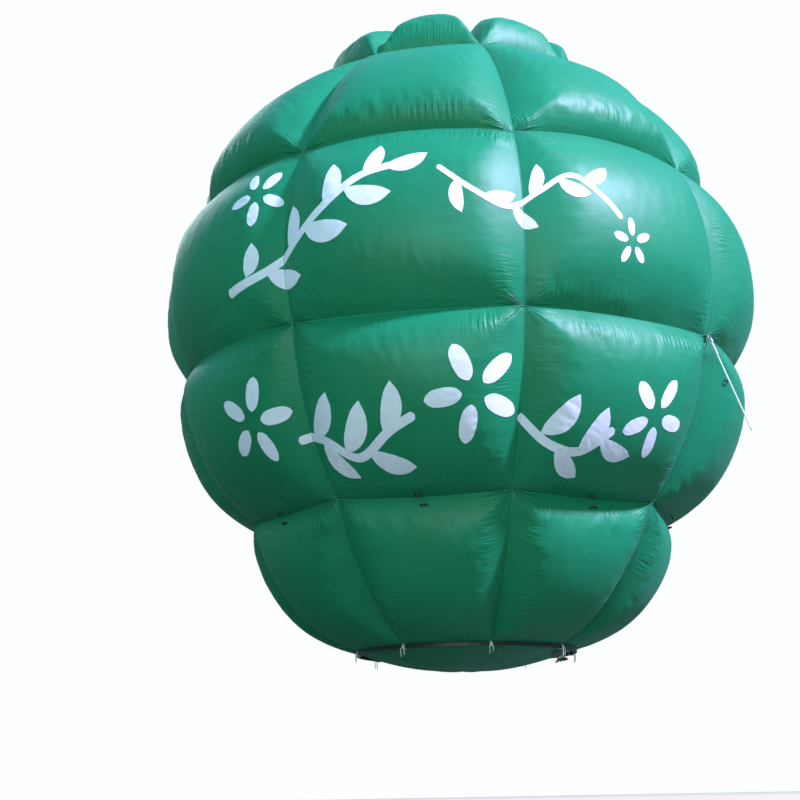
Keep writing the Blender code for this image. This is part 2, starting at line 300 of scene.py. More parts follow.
def makeSatin():
    # faint level streaks of the weave, and a slow unevenness of the dye
    tree, take, give = makeGroup("satin streaks", twoTones, toneAndHeight)
    clothMap = addNode(tree, "UVMap", uv_map="cloth").outputs[0]
    stretch = addNode(tree, "Mapping", [("Scale", cloth["weave"])])
    tree.links.new(clothMap, stretch.inputs["Vector"])
    streak = noiseNode(tree, stretch.outputs[0], 1.0, 3.0, 0.6)
    slow = noiseNode(tree, clothMap, 1.1, 2.0)
    giveTones(tree, take, give, mapped(tree, average(tree, streak, slow), 0.35, 0.65), streak)
    return tree


gathersGroup = makeGathers()
satinGroup = makeSatin()


def useGroup(tree, group, light, dark):
    return addNode(tree, "Group", [("Light", (*light, 1)), ("Dark", (*dark, 1))], node_tree=group)


def clothMaterial(name, light, dark, roughness, sheen, gathers=1.0):
    mat, tree, bsdf = newMaterial(name, roughness)
    link = tree.links.new
    bsdf.inputs["Sheen Weight"].default_value = sheen
    bsdf.inputs["Sheen Roughness"].default_value = 0.5
    bsdf.inputs["Sheen Tint"].default_value = (0.6, 1.0, 0.95, 1)
    bsdf.inputs["Specular IOR Level"].default_value = 0.42
    satin = useGroup(tree, satinGroup, light, dark)
    link(satin.outputs["Color"], bsdf.inputs["Base Color"])
    folds = addNode(tree, "Group", [("Strength", gathers)], node_tree=gathersGroup)
    fine = addNode(tree, "Bump", [("Strength", 0.15), ("Distance", 0.002)])
    coarse = addNode(tree, "Bump", [("Strength", 1.0), ("Distance", cloth["relief"])])
    link(satin.outputs["Height"], fine.inputs["Height"])
    link(folds.outputs["Height"], coarse.inputs["Height"])
    link(fine.outputs[0], coarse.inputs["Normal"])
    link(coarse.outputs[0], bsdf.inputs["Normal"])
    return mat


satinGreen = (0.003, 0.240, 0.106), (0.002, 0.190, 0.078)
sleeveGrey = (0.200, 0.210, 0.200), (0.120, 0.130, 0.125)
greenCloth = clothMaterial("green satin cloth", *satinGreen, 0.50, 0.03)
crownCloth = clothMaterial("green satin crown cloth", *satinGreen, 0.50, 0.03, gathers=0.4)
greyCloth = clothMaterial("grey sleeve cloth", *sleeveGrey, 0.70, 0.10, gathers=0.0)


def makeFibres():
    # short twisted fibres, for rope and cord
    tree, take, give = makeGroup("fibres", [*twoTones, ("Size", "Float", 600.0)], toneAndHeight)
    place = addNode(tree, "TexCoord").outputs["Object"]
    fine = noiseNode(tree, place, take.outputs["Size"], 2.0, 0.6)
    dirt = noiseNode(tree, place, 14.0, 3.0)
    giveTones(tree, take, give, mapped(tree, average(tree, fine, dirt), 0.36, 0.60), fine)
    return tree


def makeRibsWithGrooveShade():
    # the ribs of flat webbing, from a map in metres along and across it; painted shade darkens the grooves
    tree, take, give = makeGroup("webbing ribs with painted groove shade", twoTones, toneAndHeight)
    split = addNode(tree, "SeparateXYZ")
    tree.links.new(addNode(tree, "UVMap", uv_map="strip").outputs[0], split.inputs[0])
    slant = mathNode(tree, "ADD", split.outputs[0], mathNode(tree, "ABSOLUTE", split.outputs[1]))
    wave = mathNode(tree, "SINE", mathNode(tree, "MULTIPLY", slant, 2 * pi / cloth["ribs"]))
    height = mathNode(tree, "ADD", mathNode(tree, "MULTIPLY", wave, 0.5), 0.5)
    # painted shade: the tone follows the rib height, dark in the grooves and light on the crests
    giveTones(tree, take, give, height, height)
    return tree


def makeWear():
    # scuffs and grime on painted or plated metal
    tree, take, give = makeGroup("wear", twoTones, [*toneAndHeight, ("Roughness", "Float")])
    scuffs = noiseNode(tree, addNode(tree, "TexCoord").outputs["Object"], 42.0, 5.0, 0.7)
    giveTones(tree, take, give, mapped(tree, scuffs, 0.45, 0.66), scuffs)
    tree.links.new(mapped(tree, scuffs, 0.0, 1.0, 0.30, 0.62), give.inputs["Roughness"])
    return tree


def groupMaterial(name, group, light, dark, roughness, bump, metallic=0.0, **values):
    mat, tree, bsdf = newMaterial(name, roughness)
    bsdf.inputs["Metallic"].default_value = metallic
    look = useGroup(tree, group, light, dark)
    for socket, value in values.items():
        look.inputs[socket].default_value = value
    tree.links.new(look.outputs["Color"], bsdf.inputs["Base Color"])
    if "Roughness" in look.outputs:
        tree.links.new(look.outputs["Roughness"], bsdf.inputs["Roughness"])
    relief = addNode(tree, "Bump", [("Strength", 0.6), ("Distance", bump)])
    tree.links.new(look.outputs["Height"], relief.inputs["Height"])
    tree.links.new(relief.outputs[0], bsdf.inputs["Normal"])
    return mat


fibres, ribs, wear = makeFibres(), makeRibsWithGrooveShade(), makeWear()
# name, group, light and dark tone, roughness, relief
whiteRope = groupMaterial("white rope", fibres, (0.86, 0.86, 0.84), (0.60, 0.60, 0.56), 0.85, 0.0006)
whiteCord = groupMaterial("white whipping cord", fibres, (0.80, 0.79, 0.76), (0.52, 0.50, 0.46), 0.85, 0.0003)
darkCord = groupMaterial("dark tape", fibres, (0.030, 0.045, 0.038), (0.010, 0.016, 0.014), 0.8, 0.0004)
seamTape = groupMaterial("green seam tape", fibres, (0.020, 0.300, 0.190), (0.010, 0.200, 0.120), 0.7, 0.0004)
# the webbing's darker tone is painted shade in the grooves between its ribs
webbingCloth = groupMaterial("green webbing", ribs, (0.030, 0.260, 0.160), (0.010, 0.140, 0.080), 0.8, 0.0004)
whitePaint = groupMaterial("white brushed paint", fibres, (0.92, 0.86, 0.96), (0.84, 0.80, 0.92), 0.6, 0.0002,
                           Size=90.0)
hoopPaint = groupMaterial("dark painted tube", wear, (0.026, 0.023, 0.020), (0.008, 0.008, 0.007), 0.5,
                          0.0002)
zinc = groupMaterial("zinc plated steel", wear, (0.62, 0.62, 0.60), (0.42, 0.42, 0.41), 0.3, 0.0001,
                     metallic=1.0)
print("materials made")

# Envelope: eight gores of five pillows, pinched along every seam
envelope = {
    "gores": 8,
    "frontSeam": radians(12.2),
    "fan": 0.9,
    "wall": 0.20,                # how far a pillow's side slopes reach in, 1 being its width
    "level": 0.84,               # its height at the top of those slopes, the middle being 1
    "crispness": 8.0,            # how sharply slope turns into front
    # radius, height, roundness and swell of each pinched ring, from the top
    "rings": [
        (0.268, 5.081, 1.00, 0.0),
        (1.134, 4.816, 0.10, 56.6),
        (2.108, 3.661, 0.77, 22.9),
        (2.248, 2.276, 1.00, -8.4),
        (1.732, 1.031, 0.46, -31.2),
        (0.868, 0.000, 1.00, 0.0),
    ],
    # the tiers from the top: name, bulge at the seams and at the middle, how far the upper
    # and lower slopes reach in, height at their ends, place of the fullest point, and rows
    "tiers": [
        ("crown_panel", 0.068, 0.284, 0.35, 0.21, 0.88, 0.50, 36),
        ("upper_panel", 0.071, 0.125, 0.62, 0.12, 0.90, 0.58, 56),
        ("middle_panel", 0.114, 0.110, 0.30, 0.26, 0.64, 0.47, 52),
        ("lower_panel", 0.079, 0.140, 0.18, 0.32, 0.54, 0.48, 52),
        ("base_panel", 0.085, 0.116, 0.14, 0.34, 0.46, 0.46, 48),
    ],
    # how full some of the pillows are, the others being 1: tier, gore
    "fills": {(1, 1): 0.80},
}
rings = envelope["rings"]
tiers = envelope["tiers"]
gores = envelope["gores"]
frontSeam = envelope["frontSeam"]
goreAngle = 2 * pi / gores


def cylindrical(radius, azimuth, height):
    return Vector((radius * sin(azimuth), -radius * cos(azimuth), height))


def chordLean(tier):
    return atan2(rings[tier + 1][0] - rings[tier][0], rings[tier][1] - rings[tier + 1][1])


def ringLean(ring):
    return (chordLean(max(ring - 1, 0)) + chordLean(min(ring, len(tiers) - 1))) / 2


def tierHeight(tier):
    return hypot(rings[tier + 1][0] - rings[tier][0], rings[tier + 1][1] - rings[tier][1])


def ringPoint(ring, off):
    radius, height, roundness, swell = rings[ring]
    chord = radius * cos(goreAngle / 2) / cos(off)
    out = roundness * (radius - chord)
    return chord + out * cos(radians(swell)), height + out * sin(radians(swell))


def arch(t):
    return 1 - (2 * t - 1) ** 2


def pillowHeight(tier, u, v):
    # sloping sides that meet in a mitre from each corner, and a nearly flat front
    above, below, plumb, fullest = tiers[tier][3:7]
    front = envelope["level"] + (1 - envelope["level"]) * arch(u)
    front *= plumb + (1 - plumb) * arch(v ** (log(0.5) / log(fullest)))
    heights = [min(u, 1 - u) / envelope["wall"], v / above, (1 - v) / below, front]
    power = -envelope["crispness"]
    return sum(max(height, 1e-6) ** power for height in heights) ** (1 / power)


fullness = [max(pillowHeight(tier, 0.5, k / 60) for k in range(61)) for tier in range(len(tiers))]


def pillowPoint(tier, u, v, fill=1.0):
    off = (2 * u - 1) * goreAngle / 2
    top, low = ringPoint(tier, off), ringPoint(tier + 1, off)
    atSeam, atMiddle = tiers[tier][1:3]
    swell = pillowHeight(tier, u, v) / fullness[tier]
    bulge = (atSeam * arch(v) + fill * atMiddle * swell) * tierHeight(tier)
    lean = ringLean(tier) * (1 - v) + ringLean(tier + 1) * v
    middle = (ringLean(tier) + ringLean(tier + 1)) / 2
    lean = middle + (lean - middle) * envelope["fan"]
    return (top[0] * (1 - v) + low[0] * v + bulge * cos(lean),
            top[1] * (1 - v) + low[1] * v + bulge * sin(lean), off)


def panelPlace(tier, gore, u, v, fill=1.0):
    radius, height, off = pillowPoint(tier, u, v, fill)
    return cylindrical(radius, frontSeam + (gore + 0.5) * goreAngle + off, height)


def between(points):
    return sum((a - b).length for a, b in zip(points, points[1:]))


# Each pillow's cloth is cut flat, sewn in along all four edges and blown up
cutting = {
    "columns": 84,
    "thickness": 0.003,
    "air": 1.0,
    "frames": 36,
    "steps": 6,
    "creasing": 0.004,   # unevenness of the cloth before the air comes in, in metres
    "creases": 14,       # how many of them a metre
    "reach": 0.030,      # how far the air may move the cloth from its pattern
    "cloth": {
        "mass": 0.0005,
        "tension_stiffness": 60,
        "compression_stiffness": 60,
        "shear_stiffness": 12,
        "bending_stiffness": 0.0001,
        "air_damping": 3,
    },
}


def seamDistance(tier, v):
    return 2 * pillowPoint(tier, 0, v)[0] * sin(goreAngle / 2)


def cutSize(tier):
    # the flat cut's length, and its width compared with the seam-to-seam distance
    steps = 60
    length = between([panelPlace(tier, 0, 0.5, k / steps) for k in range(steps + 1)])
    width = between([panelPlace(tier, 0, k / steps, 0.5) for k in range(steps + 1)])
    return length, width / seamDistance(tier, 0.5)


def cutWidth(tier, v):
    return seamDistance(tier, v) * cutSize(tier)[1]


def mapCloth(bm, places):
    # places gives both maps' points, in metres, for a vertex
    clothMap = bm.loops.layers.uv.new("cloth")
    edgeMap = bm.loops.layers.uv.new("edges")
    for face in bm.faces:
        for loop in face.loops:
            loop[clothMap].uv, loop[edgeMap].uv = places(loop.vert)


def layCloth(tier):
    # the sewn-in panel of the first gore, and where its points lie on the flat cut
    length, widening = cutSize(tier)
    bm = bmesh.new()
    bmesh.ops.create_grid(bm, x_segments=cutting["columns"], y_segments=tiers[tier][-1], size=0.5)
    flat, halves = [], []
    for vert in bm.verts:
        u, v = vert.co.x + 0.5, min(max(0.5 - vert.co.y, 0), 1)
        width = seamDistance(tier, v) * widening
        flat.append(Vector(((u - 0.5) * width, 0, (0.5 - v) * length)))
        halves.append(width / 2)

    def places(vert):
        place = flat[vert.index]
        return (place.x, place.z), (halves[vert.index] - abs(place.x), length / 2 - abs(place.z))

    mapCloth(bm, places)
    for face in bm.faces:
        face.smooth = True
    border = [vert.index for vert in bm.verts if vert.is_boundary]
    for vert in bm.verts:
        vert.co = panelPlace(tier, 0, vert.co.x + 0.5, min(max(0.5 - vert.co.y, 0), 1))
    mesh = bpy.data.meshes.new(f"{tiers[tier][0]}_cut")
    bm.to_mesh(mesh)
    bm.free()
    return mesh, flat, border


def gridPlaces(tier):
    # u and v of the cut's points, in their order
    rows, columns = tiers[tier][-1], cutting["columns"]
    return [(i / columns, 1 - j / rows) for j in range(rows + 1) for i in range(columns + 1)]


def blowUp(mesh, flat, border, seed):
    # lets air pressure shape the cloth, near its pattern
    pattern = [vert.co.copy() for vert in mesh.vertices]
    sewn = set(border)
    for vert in mesh.vertices:
        if vert.index not in sewn:
            crease = noise.noise(vert.co * cutting["creases"] + Vector((seed * 7, 0, 0)))
            vert.co += vert.normal * crease * cutting["creasing"]
    blown = bpy.data.objects.new(mesh.name, mesh)
    bpy.context.scene.collection.objects.link(blown)
    blown.vertex_groups.new(name="sewn").add(border, 1.0, "REPLACE")
    blown.shape_key_add(name="Basis")
    cut = blown.shape_key_add(name="cut")
    for point, place in zip(cut.data, flat):
        point.co = place
    cut.value = 0
    cloth = blown.modifiers.new("cloth", "CLOTH")
    settings = cloth.settings
    settings.vertex_group_mass = "sewn"
    settings.rest_shape_key = cut
    settings.use_pressure = True
    settings.uniform_pressure_force = cutting["air"]
    settings.quality = cutting["steps"]
    for name, value in cutting["cloth"].items():
        setattr(settings, name, value)
    settings.effector_weights.gravity = 0
    cloth.collision_settings.use_collision = False
    cloth.point_cache.frame_start = 1
    cloth.point_cache.frame_end = cutting["frames"]
    for step in range(1, cutting["frames"] + 1):
        bpy.context.scene.frame_set(step)
    shown = blown.evaluated_get(bpy.context.evaluated_depsgraph_get())
    places = [vert.co.copy() for vert in shown.data.vertices]
    blown.shape_key_clear()
    blown.modifiers.clear()
    mesh = blown.data
    for vert, place, start in zip(mesh.vertices, places, pattern):
        move = place - start
        if move.length > cutting["reach"]:
            move *= cutting["reach"] / move.length
        vert.co = start + move
    bpy.data.objects.remove(blown)
    bpy.context.scene.frame_set(1)
    return mesh


def thicken(bm):
    # gives the cloth its thickness, inwards
    bm.normal_update()
    bmesh.ops.solidify(bm, geom=bm.faces, thickness=-cutting["thickness"])
    bm.normal_update()
    if bm.calc_volume(signed=True) < 0:
        bmesh.ops.reverse_faces(bm, faces=bm.faces)


def finishPiece(piece, body, slot, material, *nodes):
    bpy.context.scene.collection.objects.link(piece)
    piece.data.materials.append(material)
    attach(piece, body)
    if nodes:
        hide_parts(*nodes)
    return piece


def meshPiece(name, bm, body, slot, material, *nodes, sharp=40):
    mesh = bpy.data.meshes.new(name)
    bm.to_mesh(mesh)
    bm.free()
    mesh.shade_smooth()
    mesh.set_sharp_from_angle(angle=radians(sharp))
    return finishPiece(bpy.data.objects.new(name, mesh), body, slot, material, *nodes)


def makePanel(tier, gore, blown):
    # turned from the first gore, and mirrored for every other one
    name = f"{tiers[tier][0]}_{gore + 1}"
    bm = bmesh.new()
    bm.from_mesh(blown)
    fill = envelope["fills"].get((tier, gore), 1.0)
    if fill != 1.0:
        for vert, (u, v) in zip(bm.verts, gridPlaces(tier)):
            vert.co += panelPlace(tier, 0, u, v, fill) - panelPlace(tier, 0, u, v)
    thicken(bm)
    middle = frontSeam + goreAngle / 2
    bmesh.ops.rotate(bm, verts=bm.verts, cent=(0, 0, 0), matrix=Matrix.Rotation(-middle, 3, "Z"))
    if gore % 2:
        bmesh.ops.scale(bm, verts=bm.verts, vec=(-1, 1, 1))
        bmesh.ops.reverse_faces(bm, faces=bm.faces)
    turn = Matrix.Rotation(middle + gore * goreAngle, 3, "Z")
    bmesh.ops.rotate(bm, verts=bm.verts, cent=(0, 0, 0), matrix=turn)
    clothMap = bm.loops.layers.uv["cloth"]
    for face in bm.faces:
        for loop in face.loops:
            loop[clothMap].uv += Vector((5 * gore, 3 * tier))    # no two pillows wrinkle alike
    material = greenCloth if tier else crownCloth
    panel = meshPiece(name + "_cloth", bm, "envelope", "cloth", material, name, sharp=60)
    length = cutSize(tier)[0]
    cuts = [cutWidth(tier, k / 10) for k in range(11)]
    return panel


panels = {}
for tier in range(len(tiers)):
    laid, flat, border = layCloth(tier)
    blown = blowUp(laid, flat, border, tier)
    for gore in range(gores):
        panels[tier, gore] = makePanel(tier, gore, blown)
    print("blown up", tiers[tier][0])
print("envelope made")

# Cloth discs that close the envelope above and below
discs = {
    # radius, height at the rim, rise to the middle, sectors, depth of the sectors' pillows
    "crown_patch": (0.267, 5.081, 0.019, 8, 0.004),
    "bottom_panel": (0.866, -0.001, -0.150, 8, 0.010),
}


def makeDisc(name, radius, height, rise, sectors, pillow, circles=30, steps=128):
    bm = bmesh.new()
    verts = [bm.verts.new(cylindrical(radius * k / circles, frontSeam, 0)) for k in range(circles + 1)]
    edges = [bm.edges.new(pair) for pair in zip(verts, verts[1:])]
    bmesh.ops.spin(bm, geom=verts + edges, cent=(0, 0, 0), axis=(0, 0, 1), angle=2 * pi, steps=steps,
                   use_merge=True)
    bmesh.ops.remove_doubles(bm, verts=bm.verts, dist=0.0001)

    def toSeam(place):
        turn = (atan2(place.x, -place.y) - frontSeam) * sectors / (2 * pi) % 1
        return min(turn, 1 - turn)

    def places(vert):
        aside = toSeam(vert.co) * 2 * pi / sectors * vert.co.length
        return (vert.co.x + 60, vert.co.y), (aside, radius - vert.co.length)

    mapCloth(bm, places)
    for vert in bm.verts:
        t = vert.co.length / radius
        swell = pillow * arch(toSeam(vert.co)) * 4 * t * (1 - t)
        vert.co.z = height + rise * (1 - t * t) + (swell if rise > 0 else -swell)
    bmesh.ops.recalc_face_normals(bm, faces=bm.faces)
    if (sum(face.normal.z * face.calc_area() for face in bm.faces) > 0) != (rise > 0):
        bmesh.ops.reverse_faces(bm, faces=bm.faces)
    bmesh.ops.solidify(bm, geom=bm.faces, thickness=-cutting["thickness"])
    if bm.calc_volume(signed=True) < 0:
        bmesh.ops.reverse_faces(bm, faces=bm.faces)
    disc = meshPiece(name + "_cloth", bm, "envelope", "cloth", greenCloth, name)


for name, sizes in discs.items():
    makeDisc(name, *sizes)
print("discs made")

# Cords and webbing

def localAxes(place, azimuth, lean):
    # X leans up from outward by lean, Y runs to the right around the envelope
    turn = Matrix.Rotation(azimuth - pi / 2, 4, "Z") @ Matrix.Rotation(-lean, 4, "Y")
    return Matrix.Translation(place) @ turn


def cordPiece(name, runs, radius, body, slot, material, *nodes, closed=False, sides=3):
    curve = bpy.data.curves.new(name, "CURVE")
    curve.dimensions = "3D"
    curve.bevel_depth = radius
    curve.bevel_resolution = sides
    curve.use_fill_caps = True
    for run in runs:
        spline = curve.splines.new("POLY")
        spline.points.add(len(run) - 1)
        for point, place in zip(spline.points, run):
            point.co = (*place, 1)
        spline.use_cyclic_u = closed
    return finishPiece(bpy.data.objects.new(name, curve), body, slot, material, *nodes)


def smoothRun(points, steps=8):
    # a smooth curve through the points
    ends = [2 * points[0] - points[1], *points, 2 * points[-1] - points[-2]]
    run = []
    for a, b, c, d in zip(ends, ends[1:], ends[2:], ends[3:]):
        for k in range(steps):
            t = k / steps
            run.append(0.5 * (2 * b + (c - a) * t + (2 * a - 5 * b + 4 * c - d) * t ** 2
                              + (3 * b - 3 * c + d - a) * t ** 3))
    return run + [points[-1]]


def knotRun(axes, place, size, steps=40):
    # an overhand knot: a trefoil, as a closed run
    run = []
    for k in range(steps):
        a = 2 * pi * k / steps
        x = sin(a) + 2 * sin(2 * a)
        y = cos(a) - 2 * cos(2 * a)
        run.append(axes @ (Vector(place) + Vector((x, y, -1.2 * sin(3 * a))) * size))
    return run + run[:1]


# White cords that lash the hoop to the envelope at every gore seam
hoop = {"inner": 0.868, "tube": 0.028, "top": -0.0006}
lashing = {
    "cord": 0.0030,    # radius
    "turns": 3,
    "pitch": 0.0066,
    "clear": 0.0004,
    "corner": 0.006,
    "tail": 0.072,
    "knot": 0.0032,
}


def boxRun(axes, middle, half, corner, turns, pitch, steps=5):
    # turns of cord round a square bar that runs along the axes' Y
    run = []
    total = turns * 4 * steps
    for k in range(total + 1):
        side, step = divmod(k, steps)
        turn = pi / 2 * (side + step / (steps - 1))
        base = side % 4
        cx = (half - corner) * (1, -1, -1, 1)[base]
        cz = (half - corner) * (1, 1, -1, -1)[base]
        x = middle[0] + cx + corner * cos(turn)
        z = middle[1] + cz + corner * sin(turn)
        run.append(axes @ Vector((x, pitch * (k / (4 * steps) - turns / 2), z)))
    return run


def makeLashing(seam):
    azimuth = frontSeam + seam * goreAngle
    axes = localAxes(Vector(), azimuth, 0)
    half = hoop["tube"] / 2 + lashing["cord"] + lashing["clear"]
    middle = (hoop["inner"] + hoop["tube"] / 2, hoop["top"] - hoop["tube"] / 2)
    run = boxRun(axes, middle, half, lashing["corner"], lashing["turns"], lashing["pitch"])
    front = middle[0] + half
    low = middle[1] - half * 0.2
    knot = knotRun(axes, (front + 0.004, 0, low), lashing["knot"])
    tails = []
    for side, length in ((-1, 1.0), (1, 0.75 + 0.1 * (seam % 3))):
        # outwards, to the side, and down as a share of the tail
        shape = [(0.004, 0.006, 0.0), (0.012, 0.012 + 0.002 * (seam % 4), 0.2),
                 (0.011, 0.014, 0.6), (0.007, 0.012 + 0.003 * (seam % 2), 1.0)]
        reach = lashing["tail"] * length
        tails.append(smoothRun([axes @ Vector((front + out, side * away, low - down * reach))
                                for out, away, down in shape]))
    runs = [run, knot, *tails]
    cordPiece(f"hoop_lashing_{seam + 1}", runs, lashing["cord"], "envelope", "rope", whiteRope)


for seam in range(gores):
    makeLashing(seam)
print("lashings made")

# Filling sleeve, gathered and tied off under the bottom panel
sleeve = {
    "azimuth": radians(72),
    "place": 0.772,
    "sag": 0.150,
    "seat": 0.0019,
    # distance from the panel, radius and depth of the pleats
    "outline": [(0.000, 0.066, 0.0), (0.008, 0.066, 0.001), (0.020, 0.064, 0.002), (0.030, 0.057, 0.004),
                (0.039, 0.043, 0.006), (0.046, 0.031, 0.004), (0.052, 0.024, 0.003), (0.057, 0.024, 0.003),
                (0.063, 0.030, 0.005), (0.071, 0.041, 0.009), (0.080, 0.050, 0.012)],
    "pleats": 13,
    "wall": 0.002,
    "flat": (0.415, 0.112),
    "tie": 0.048,              # from the panel
    "neck": 0.0275,            # radius of the tie's turns
}


def sleeveAxes():
    rim = hoop["inner"]
    t = sleeve["place"] / rim
    slope = atan2(2 * sleeve["sag"] * t, rim)
    place = cylindrical(sleeve["place"], sleeve["azimuth"], -sleeve["sag"] * (1 - t * t))
    return localAxes(place, sleeve["azimuth"], slope - pi / 2) @ Matrix.Translation((-sleeve["seat"], 0, 0))


def makeSleeve():
    axes = sleeveAxes()
    bm = bmesh.new()
    steps = sleeve["pleats"] * 10
    bmesh.ops.create_circle(bm, segments=steps, radius=1)
    edges = list(bm.edges)
    outline = smoothRun([Vector(row) for row in sleeve["outline"]], 4)
    circles = [list(bm.verts)]
    for _ in outline[1:]:
        grown = bmesh.ops.extrude_edge_only(bm, edges=edges)["geom"]
        edges = [part for part in grown if isinstance(part, bmesh.types.BMEdge)]
        circles.append([part for part in grown if isinstance(part, bmesh.types.BMVert)])
    for circle, (reach, radius, pleat) in zip(circles, outline):
        for vert in circle:
            a = atan2(vert.co.y, vert.co.x)
            wave = cos(a * sleeve["pleats"] + 1.3 * sin(3 * a)) * (0.75 + 0.25 * sin(2 * a + 1))
            r = radius + pleat * wave
            vert.co = (reach + pleat * 0.5 * sin(2 * a), r * cos(a), r * sin(a))
    mapCloth(bm, lambda vert: ((atan2(vert.co.z, vert.co.y) * sleeve["outline"][0][1], vert.co.x), (1, 1)))
    bmesh.ops.transform(bm, matrix=axes, verts=bm.verts)
    bmesh.ops.recalc_face_normals(bm, faces=bm.faces)
    bmesh.ops.solidify(bm, geom=bm.faces, thickness=sleeve["wall"])
    bmesh.ops.recalc_face_normals(bm, faces=bm.faces)
    piece = meshPiece("filling_sleeve_cloth", bm, "envelope", "sleeve", greyCloth, "filling_sleeve")
    neck = []
    steps, pitch, radius = 24, 0.0045, sleeve["neck"]
    for k in range(lashing["turns"] * steps + 1):
        a = 2 * pi * k / steps
        neck.append(axes @ Vector((sleeve["tie"] + pitch * k / steps, radius * cos(a), radius * sin(a))))
    start = (sleeve["tie"] + 0.006, radius + 0.005, 0)
    knot = knotRun(axes, start, lashing["knot"])
    tails = []
    for side in (-1, 1):
        shape = [start, (0.058, radius + 0.016, side * 0.012),
                 (0.072, radius + 0.024, side * 0.020), (0.086, radius + 0.024, side * 0.022)]
        tails.append(smoothRun([axes @ Vector(place) for place in shape]))
    cordPiece("sleeve_tie", [neck, knot, *tails], lashing["cord"], "envelope", "rope", whiteRope)


makeSleeve()
print("sleeve made")

# Guys: webbing loop, D-ring and taut rope, and the crown's lifting loop and ring
fitting = {
    # rod is half its thickness, inner and outer are the radii of the webbing's eye
    "rod": 0.004, "ringWidth": 0.054, "ringArm": 0.018, "inner": 0.005, "outer": 0.0085,
    "loopWidth": 0.038, "webbing": 0.0035, "strip": 0.0034, "reach": 0.045, "seat": 0.0009,
}
rope = {
    "slope": radians(-69), "radius": 0.006, "eye": 0.0115, "knot": 0.011, "knotLength": 0.120,
    "length": 0.78, "pitch": 0.042, "gap": 0.0003,
}
guys = [("right", 1), ("left", -3), ("rear", 3)]


def makeStrip(name, axes, middleLine, node):
    # flat webbing along a line in the XZ plane of its axes, with rounded edges
    bm = bmesh.new()
    half, t = fitting["loopWidth"] / 2, fitting["strip"] / 2
    across = [(-half, 0.0), (-half + t * 0.6, t * 0.8), (-half + 1.6 * t, t), (half - 1.6 * t, t),
              (half - t * 0.6, t * 0.8), (half, 0.0), (half - t * 0.6, -t * 0.8), (half - 1.6 * t, -t),
              (-half + 1.6 * t, -t), (-half + t * 0.6, -t * 0.8)]
    loops, along = [], [0.0]
    for one, two in zip(middleLine, middleLine[1:]):
        along.append(along[-1] + hypot(two[0] - one[0], two[1] - one[1]))
    for k, (x, z) in enumerate(middleLine):
        before = middleLine[max(k - 1, 0)]
        after = middleLine[min(k + 1, len(middleLine) - 1)]
        run = Vector((after[0] - before[0], 0, after[1] - before[1])).normalized()
        up = Vector((-run.z, 0, run.x))
        loops.append([bm.verts.new(axes @ (Vector((x, y, z)) + up * off)) for y, off in across])
    for one, two in zip(loops, loops[1:]):
        for k in range(len(across)):
            m = (k + 1) % len(across)
            bm.faces.new([one[k], one[m], two[m], two[k]])
    bm.faces.new(loops[0])
    bm.faces.new(loops[-1])
    bmesh.ops.recalc_face_normals(bm, faces=bm.faces)
    bm.verts.index_update()
    stripMap = bm.loops.layers.uv.new("strip")
    for face in bm.faces:
        for loop in face.loops:
            row, column = divmod(loop.vert.index, len(across))
            loop[stripMap].uv = (along[row], across[column][0])
    meshPiece(name, bm, "envelope", "webbing", webbingCloth, node, sharp=50)


def eyeLine(half, steps=24):
    # the middle of the webbing round the ring's bar, open towards -X
    radius = (fitting["inner"] + fitting["outer"]) / 2
    return [(radius * cos(a), radius * sin(a))
            for a in (half - pi + (2 * pi - 2 * half) * k / steps for k in range(steps + 1))]


def ropeStrands(axes, start, end, radius, pitch):
    # three strands laid round each other along X
    strands = []
    steps = round((end - start) / 0.0035)
    for strand in range(3):
        run = []
        for k in range(steps + 1):
            x = start + (end - start) * k / steps
            a = 2 * pi * (x / pitch + strand / 3)
            run.append(axes @ Vector((x, radius * 0.5 * cos(a), radius * 0.5 * sin(a))))
        strands.append(run)
    return strands


def eyeStrands(axes, middle, radius, reach, pitch):
    # the same rope bent round the D-ring's bow and back into the lashing
    strands = []
    steps, start, bend = 60, radians(35), radians(290)
    for strand in range(3):
        run = []
        for k in range(steps + 1):
            a = start + bend * k / steps
            b = 2 * pi * (k / steps * reach * bend / pitch + strand / 3)
            out = reach + radius * 0.5 * cos(b)
            run.append(axes @ Vector((middle + out * cos(a), radius * 0.5 * sin(b), out * sin(a))))
        strands.append(run)
    return strands


def makeGuy(name, seam):
    azimuth = frontSeam + seam * goreAngle
    radius, height = rings[3][:2]
    lean = ringLean(3)
    place = cylindrical(radius + fitting["reach"] * cos(lean), azimuth, height + fitting["reach"] * sin(lean))
    root = fitting["seat"] - fitting["reach"]
    quarter = fitting["webbing"] / 4
    axes = localAxes(place, azimuth, lean)
    eye = eyeLine(radians(15))
    line = [(root, -quarter), *eye, (root, quarter)]
    makeStrip(f"guy_webbing_{name}", axes, line, f"guy_loop_{name}")
    axes = localAxes(place, azimuth, rope["slope"])
    bow = fitting["ringArm"] + fitting["ringWidth"] / 2
    middle = bow + rope["eye"] - rope["radius"] - fitting["rod"] - rope["gap"]
    knot = middle + rope["eye"]
    end = knot + rope["length"]
    body = f"guy_{name}"
    strands = ropeStrands(axes, knot + 0.010, end - 0.004, rope["radius"], rope["pitch"])
    strands += eyeStrands(axes, middle, rope["radius"], rope["eye"], rope["pitch"])
    cordPiece(f"guy_line_{name}", strands, rope["radius"] * 0.54, body, "rope", whiteRope, f"guy_rope_{name}")
    for part, first, last, r in (("lashing", knot + 0.004, knot + rope["knotLength"] - 0.006, rope["knot"]),
                                 ("end_whipping", end - 0.026, end - 0.002, rope["radius"] * 1.25)):
        cord = 0.0016
        turns = (last - first) / (2.05 * cord)
        steps = round(turns * 14)
        run = []
        for k in range(steps + 1):
            a = 2 * pi * turns * k / steps
            x = first + (last - first) * k / steps
            ease = min(1, (x - first) / 0.012 + 0.72, (last - x) / 0.012 + 0.72)
            run.append(axes @ Vector((x, (r * ease - cord) * cos(a), (r * ease - cord) * sin(a))))
        cordPiece(f"guy_{part}_{name}", [run], cord, body, "rope", whiteCord, sides=2)


